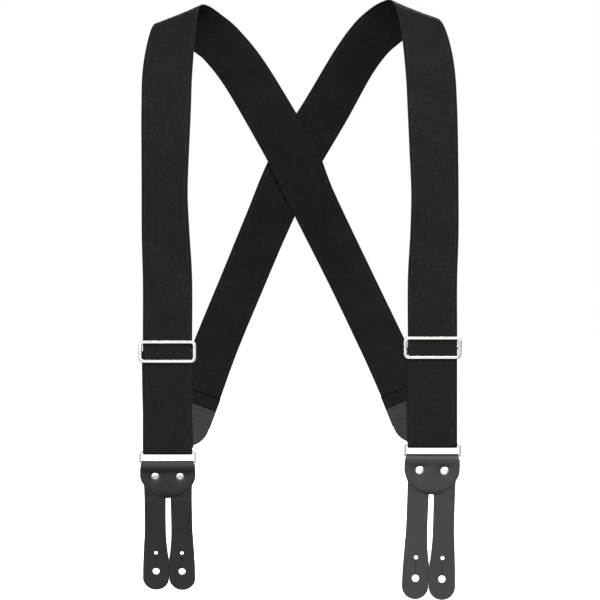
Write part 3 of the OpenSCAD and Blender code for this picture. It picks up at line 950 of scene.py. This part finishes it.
def wire_ring(side):
    """The rectangular ring of round wire."""
    size = 20
    angles = [2 * math.pi * k / size for k in range(size)]
    circle = [(WIRE_R * math.cos(a), FOLD_Y + WIRE_R * math.sin(a)) for a in angles]
    path = round_rect(RING_L - 2 * WIRE_R, RING_PITCH, BEND_R, steps=12, straight=8)
    z = BAR_Z[side] - RING_PITCH / 2
    path = [(px + SIDES[side] * FRONT_X, pz + z) for px, pz in path]
    made = swept(f"wire_ring_{side}", path, lambda at: circle)
    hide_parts(f"ring_{side}")
    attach(made, f"wire_{side}")


def lathe(name, places, profile, tilt, origin):
    """Turned rivet parts about axes that point along -Y, leaned back with the leather end."""
    points, faces = [], []
    size = 40
    for x, down in places:
        first = len(points)
        for radius, height in profile:
            for k in range(size):
                a = 2 * math.pi * k / size
                y, v = -height, down + radius * math.sin(a)
                points.append((
                    origin[0] + x + radius * math.cos(a),
                    origin[1] + y * math.cos(tilt) + v * math.sin(tilt),
                    origin[2] + y * math.sin(tilt) - v * math.cos(tilt),
                ))
        faces += [tuple(first + i for i in face) for face in tube_faces(len(profile), size, False)]
    return outward(solid(name, points, faces, RIVET))


def rivets(side):
    """Domed caps on the shield, and the shanks with their flat heads behind."""
    tilt, slant = SWING[side], SLANT[side]
    origin = (SIDES[side] * FRONT_X, FOLD_Y, BAR_Z[side] - RING_PITCH)
    places = []
    for x in (-RIVET_X, RIVET_X):
        places.append((
            x * math.cos(slant) - RIVET_DOWN * math.sin(slant),
            RIVET_DOWN * math.cos(slant) + x * math.sin(slant),
        ))
    r, base = RIVET_CAP_R, LEATHER_T - 0.05
    cap = [
        (r - 0.5, base - 0.1), (r - 0.08, base), (r, base + 0.18), (r - 0.02, base + 0.42),
        (r - 0.2, base + 0.64), (r - 0.6, base + 0.85), (r - 1.2, base + 1.06), (r - 2, base + 1.24),
        (r - 2.7, base + 1.33), (r - 3.1, base + 1.3), (r - 3.4, base + 1.2), (r - 3.8, base + 1.18),
        (0.15, base + 1.18),
    ]
    caps = lathe(f"rivet_caps_front_{side}", places, cap, tilt, origin)
    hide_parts(f"rivet_caps_{side}")
    rear = -LEATHER_T
    back = [
        (1.5, LEATHER_T - 0.1), (1.5, rear), (3.3, rear + 0.02), (3.6, rear - 0.15), (3.58, rear - 0.5),
        (3.3, rear - 0.72), (1.9, rear - 0.78), (1.3, rear - 0.6), (0.15, rear - 0.55),
    ]
    posts = lathe(f"rivet_backs_{side}", places, back, tilt, origin)
    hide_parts(f"rivet_posts_{side}")
    for made in (caps, posts):
        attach(made, f"tab_{side}")


def crossing_stitches():
    """The square of stitches that holds the straps together where they cross."""
    low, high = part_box("cross_stitch")
    x, z = (low[0] + high[0]) / 2 / MM, (low[2] + high[2]) / 2 / MM
    reach_out, count = 15.5, 7
    surface, lean = 92.05, 0.155     # depth of the upper strap's middle there, and its slope
    corners = [(0, -reach_out), (reach_out, 0), (0, reach_out), (-reach_out, 0)]
    places = []
    out = (0, -1, -lean)
    for i, (a, b) in enumerate(corners):
        c, d = corners[(i + 1) % 4]
        start = (x + a, surface - lean * b - WEB_T / 2, z + b)
        end = (x + c, surface - lean * d - WEB_T / 2, z + d)
        places += row(start, end, out, count)
        rear = [np.array(p, float) + (0, WEB_T + PLY_GAP, 0) for p in (start, end)]
        places += row(*rear, (0, 1, lean), count)
    made = stitches("crossing_stitches", places)
    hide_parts("cross_stitch")
    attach(made, "root")


# ---- the camera, the light and the floor ----

CAMERA_Y, CAMERA_Z, LENS, SENSOR = -2.280, -0.306, 128.6, 36
AMBIENT, FRONT_GLOW, UPPER_GLOW = 0.20, 1.0, 0.22    # light from all round, from the front and from above
GLOW_FOCUS = 5.0                                     # how narrow the light from the front is
FLOOR_HALF, FLOOR_Z = 14.0, -0.66


def camera():
    """A long lens, level, in front of the straps' middle."""
    data = bpy.data.cameras.new("camera")
    data.lens = LENS
    data.sensor_width = SENSOR
    data.clip_start, data.clip_end = 0.05, 60
    made = bpy.data.objects.new("camera", data)
    made.location = (0, CAMERA_Y, CAMERA_Z)
    made.rotation_euler = (math.pi / 2, 0, 0)
    bpy.context.scene.collection.objects.link(made)
    bpy.context.scene.camera = made


def softbox(name, place, target, size, power):
    """A rectangular soft light, turned towards its target."""
    data = bpy.data.lights.new(name, "AREA")
    data.shape = "RECTANGLE"
    data.size, data.size_y = size
    data.energy = power
    made = bpy.data.objects.new(name, data)
    made.location = place
    made.rotation_mode = "QUATERNION"
    made.rotation_quaternion = (Vector(target) - Vector(place)).to_track_quat("-Z", "Y")
    bpy.context.scene.collection.objects.link(made)


def surroundings():
    """Plain white where the camera sees them, and a soft light from the front and above on the object."""
    world = bpy.data.worlds.new("world")
    bpy.context.scene.world = world
    world.use_nodes = True
    tree = world.node_tree
    seen = tree.nodes["Background"]
    seen.inputs["Color"].default_value = (1, 1, 1, 1)
    seen.inputs["Strength"].default_value = 1.0
    w = Nodes(tree)
    lit = w.add("ShaderNodeBackground")
    split = w.add("ShaderNodeSeparateXYZ")
    w.join(w.add("ShaderNodeTexCoord").outputs["Generated"], split.inputs[0])
    front = w.sums("MAXIMUM", w.sums("MULTIPLY", split.outputs["Y"], -1.0), 0.0)
    upper = w.sums("MAXIMUM", split.outputs["Z"], 0.0)
    glow = w.sums("MULTIPLY", w.sums("POWER", front, GLOW_FOCUS), FRONT_GLOW)
    glow = w.sums("ADD", glow, w.sums("MULTIPLY", upper, UPPER_GLOW))
    w.join(w.sums("ADD", glow, AMBIENT), lit.inputs["Strength"])
    mix = w.add("ShaderNodeMixShader")
    w.join(w.add("ShaderNodeLightPath").outputs["Is Camera Ray"], mix.inputs[0])
    w.join(lit.outputs[0], mix.inputs[1])
    w.join(seen.outputs[0], mix.inputs[2])
    w.join(mix.outputs[0], tree.nodes["World Output"].inputs["Surface"])


def lights():
    """Five soft lights: three in front, one strip above them and one behind."""
    softbox("key", (1.1, -1.3, 0.8), (0, 0, -0.3), (0.8, 0.8), 28)
    softbox("fill", (-1.2, -1.6, 0.1), (0, 0, -0.3), (0.9, 1.3), 13)
    softbox("low", (-0.5, -1.9, -1.2), (0, 0, -0.4), (2.4, 1.4), 12)
    softbox("strip", (0.1, -1.5, 0.85), (0, 0, -0.45), (1.8, 0.3), 10)
    softbox("rear", (0.2, 2.3, 0.8), (0, 0, -0.3), (1.4, 0.9), 75)


def floor():
    """A plain pale floor that throws no light on the object."""
    turns = [(-1, -1), (1, -1), (1, 1), (-1, 1)]
    mesh = bpy.data.meshes.new("floor")
    mesh.from_pydata([(FLOOR_HALF * x, FLOOR_HALF * y, FLOOR_Z) for x, y in turns], [], [(0, 1, 2, 3)])
    made = bpy.data.objects.new("floor", mesh)
    bpy.context.scene.collection.objects.link(made)
    m = Material("floor_white")
    colour = m.ramp(m.noise(3, 2, 0.5), [(0.3, grey(0.93)), (0.7, grey(0.95))])
    m.join(colour, m.shader.inputs["Base Color"])
    m.set(Roughness=0.9, Emission_Color=(1, 1, 1, 1), Emission_Strength=0.95)
    mesh.materials.append(m.material)
    made.visible_diffuse = False
    made.visible_glossy = False


camera()
surroundings()
lights()
floor()
bpy.context.scene.view_settings.view_transform = "Standard"
for each in SIDES:
    strap(each)
    returning(each)
    loop_stitches(each)
    slide_frame(each)
    wire_ring(each)
    front_leather(each)
    rivets(each)
    back_leather(each)
    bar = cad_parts[f"slide_bar_{each}"]
    bar.data.materials.clear()
    bar.data.materials.append(NICKEL)
crossing_stitches()
